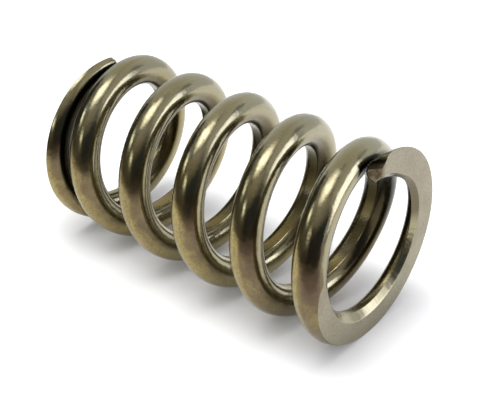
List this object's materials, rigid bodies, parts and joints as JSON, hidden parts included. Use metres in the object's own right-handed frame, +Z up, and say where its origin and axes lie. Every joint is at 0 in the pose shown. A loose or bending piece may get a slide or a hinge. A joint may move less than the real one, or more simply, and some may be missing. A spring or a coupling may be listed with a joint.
{
  "type": "compression spring",
  "caption": "Heavy helical compression spring of round wire, with closed, ground and chamfered ends, that pushes back when it is squeezed along its axis.",
  "frame": {"origin": "centre of the ground lower end, on the axis of the coil", "axes": "+Z up the axis of the coil, from the lower ground end to the upper one, with the upper wire end midway between +X and -Y"},
  "size_m": [0.0632, 0.0628, 0.1105],
  "materials": {
    "spring_wire": "bright cold-drawn wire with a light straw tint, and finely ground end faces"
  },
  "bodies": {
    "root": {"compression_spring": "spring_wire"}
  },
  "joints": []
}
